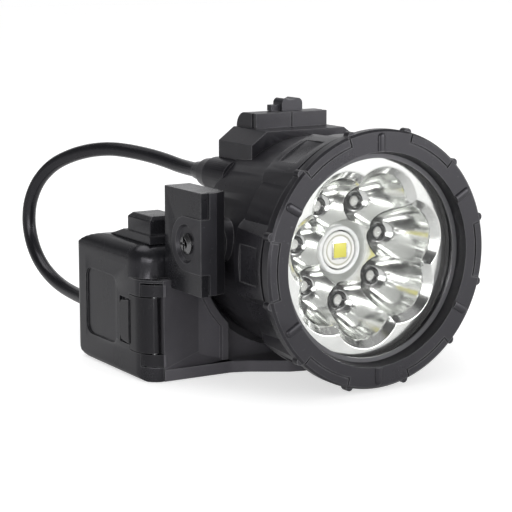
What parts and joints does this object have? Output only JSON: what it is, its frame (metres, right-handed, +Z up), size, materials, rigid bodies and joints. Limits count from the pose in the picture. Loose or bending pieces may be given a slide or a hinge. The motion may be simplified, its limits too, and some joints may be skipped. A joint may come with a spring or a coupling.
{
  "type": "miner's cap lamp",
  "caption": "Tilting round lamp head with a multi-cup reflector and a slide switch, held between two ears on a latched battery case and joined to it by one cable",
  "frame": {"origin": "on the surface the lamp stands on, under the middle of its length and width without the cable", "axes": "+Z up; the lamp shines along -Y; X runs along the tilt pivot, with +X to the right when the lamp is seen from its front"},
  "size_m": [0.129, 0.1798, 0.0972],
  "materials": {
    "case_plastic": "fine moulded texture, satin black",
    "latch_plastic": "satin black",
    "head_plastic": "soft satin black",
    "knob_plastic": "satin black",
    "inner_plastic": "matte",
    "seal_rubber": "matte",
    "gasket_grey": "matte",
    "cable_rubber": "satin",
    "black_screw": "black oxide",
    "steel": "satin",
    "brass": "satin",
    "aluminium": "turned",
    "cell_wrap": "shrink sleeve",
    "circuit_board": "solder mask",
    "dark_board": "black solder mask",
    "lens_clear": "polished, clear",
    "mirror_coat": "vacuum-metallised",
    "led_phosphor": "phosphor chip in a white ring",
    "led_clear": "clear epoxy"
  },
  "bodies": {
    "case": {"battery_case": "case_plastic", "front_panel": "case_plastic", "case_gasket": "seal_rubber", "left_ear": "case_plastic", "right_ear": "case_plastic", "left_ear_cap": "case_plastic", "right_ear_cap": "case_plastic", "pivot_screws": "black_screw", "ear_screws": "steel", "latch_pins": "steel", "top_lugs": "case_plastic", "battery_cells": "cell_wrap", "cell_tray": "inner_plastic", "cell_contacts": "brass", "protection_board": "circuit_board", "cable_inlet": "cable_rubber", "inlet_nut": "steel", "cable": "cable_rubber"},
    "head": {"bezel": "head_plastic", "grip_collar": "head_plastic", "collar_seal": "seal_rubber", "lens": "lens_clear", "lens_gasket": "gasket_grey", "reflector": "mirror_coat", "main_led": "led_phosphor", "small_leds": "led_clear", "led_board": "dark_board", "heat_sink": "aluminium", "driver_board": "circuit_board", "head_housing": "head_plastic", "pivot_inserts": "brass", "friction_washers": "seal_rubber", "rear_cap": "head_plastic", "rear_gasket": "seal_rubber", "rear_screws": "black_screw", "switch_housing": "head_plastic", "switch_plate": "head_plastic", "slide_switch": "steel", "cable_gland": "head_plastic", "cable_boot": "cable_rubber"},
    "left_latch_body": {"left_latch": "latch_plastic"},
    "right_latch_body": {"right_latch": "latch_plastic"},
    "switch_knob_body": {"switch_knob": "knob_plastic"}
  },
  "joints": [
    {"name": "head_tilt", "type": "hinge", "parent": "case", "child": "head", "pos_m": [0, -0.014, 0.051], "axis": [1, 0, 0], "range_deg": [-15, 10], "deforming": ["cable"]},
    {"name": "switch_slide", "type": "slide", "parent": "head", "child": "switch_knob_body", "axis": [1, 0, 0], "range_m": [-0.003, 0.003]},
    {"name": "left_latch_swing", "type": "hinge", "parent": "case", "child": "left_latch_body", "pos_m": [-0.059, 0.0004, 0.02], "axis": [0, 0, 1], "range_deg": [0, 100]},
    {"name": "right_latch_swing", "type": "hinge", "parent": "case", "child": "right_latch_body", "pos_m": [0.059, 0.0004, 0.02], "axis": [0, 0, -1], "range_deg": [0, 100]}
  ]
}
